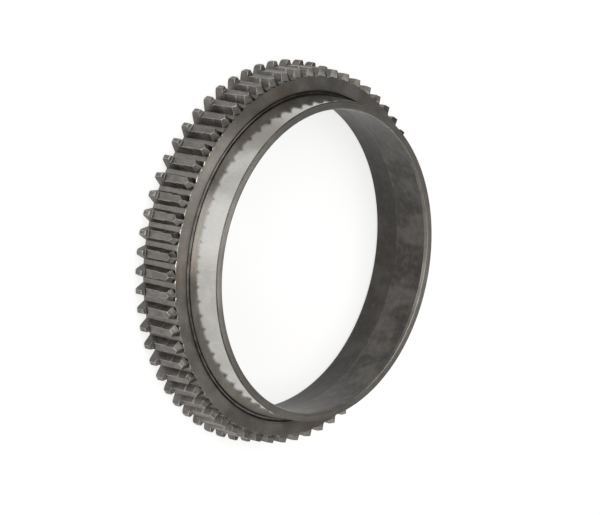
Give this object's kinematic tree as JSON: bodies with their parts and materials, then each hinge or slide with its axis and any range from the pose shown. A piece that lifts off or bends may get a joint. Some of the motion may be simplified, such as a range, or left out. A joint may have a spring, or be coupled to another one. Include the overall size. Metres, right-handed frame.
{
  "type": "synchronizer flange",
  "caption": "One-piece steel synchronizer flange: dog teeth with roof-shaped points and stepped tips round a flange, and a thin ground friction cone with a tapered bore.",
  "frame": {"origin": "centre of the ring on the toothed rear face, which it stands on", "axes": "+Z along the ring axis from the toothed rear face to the cone's rim, +X through the middle of one tooth"},
  "size_m": [0.1632, 0.1632, 0.0325],
  "materials": {
    "hardened_steel": "hardened gun-metal grey steel, oiled and stained in the bore, with a bright ground cone"
  },
  "bodies": {
    "root": {"synchronizer_flange": "hardened_steel"}
  },
  "joints": []
}
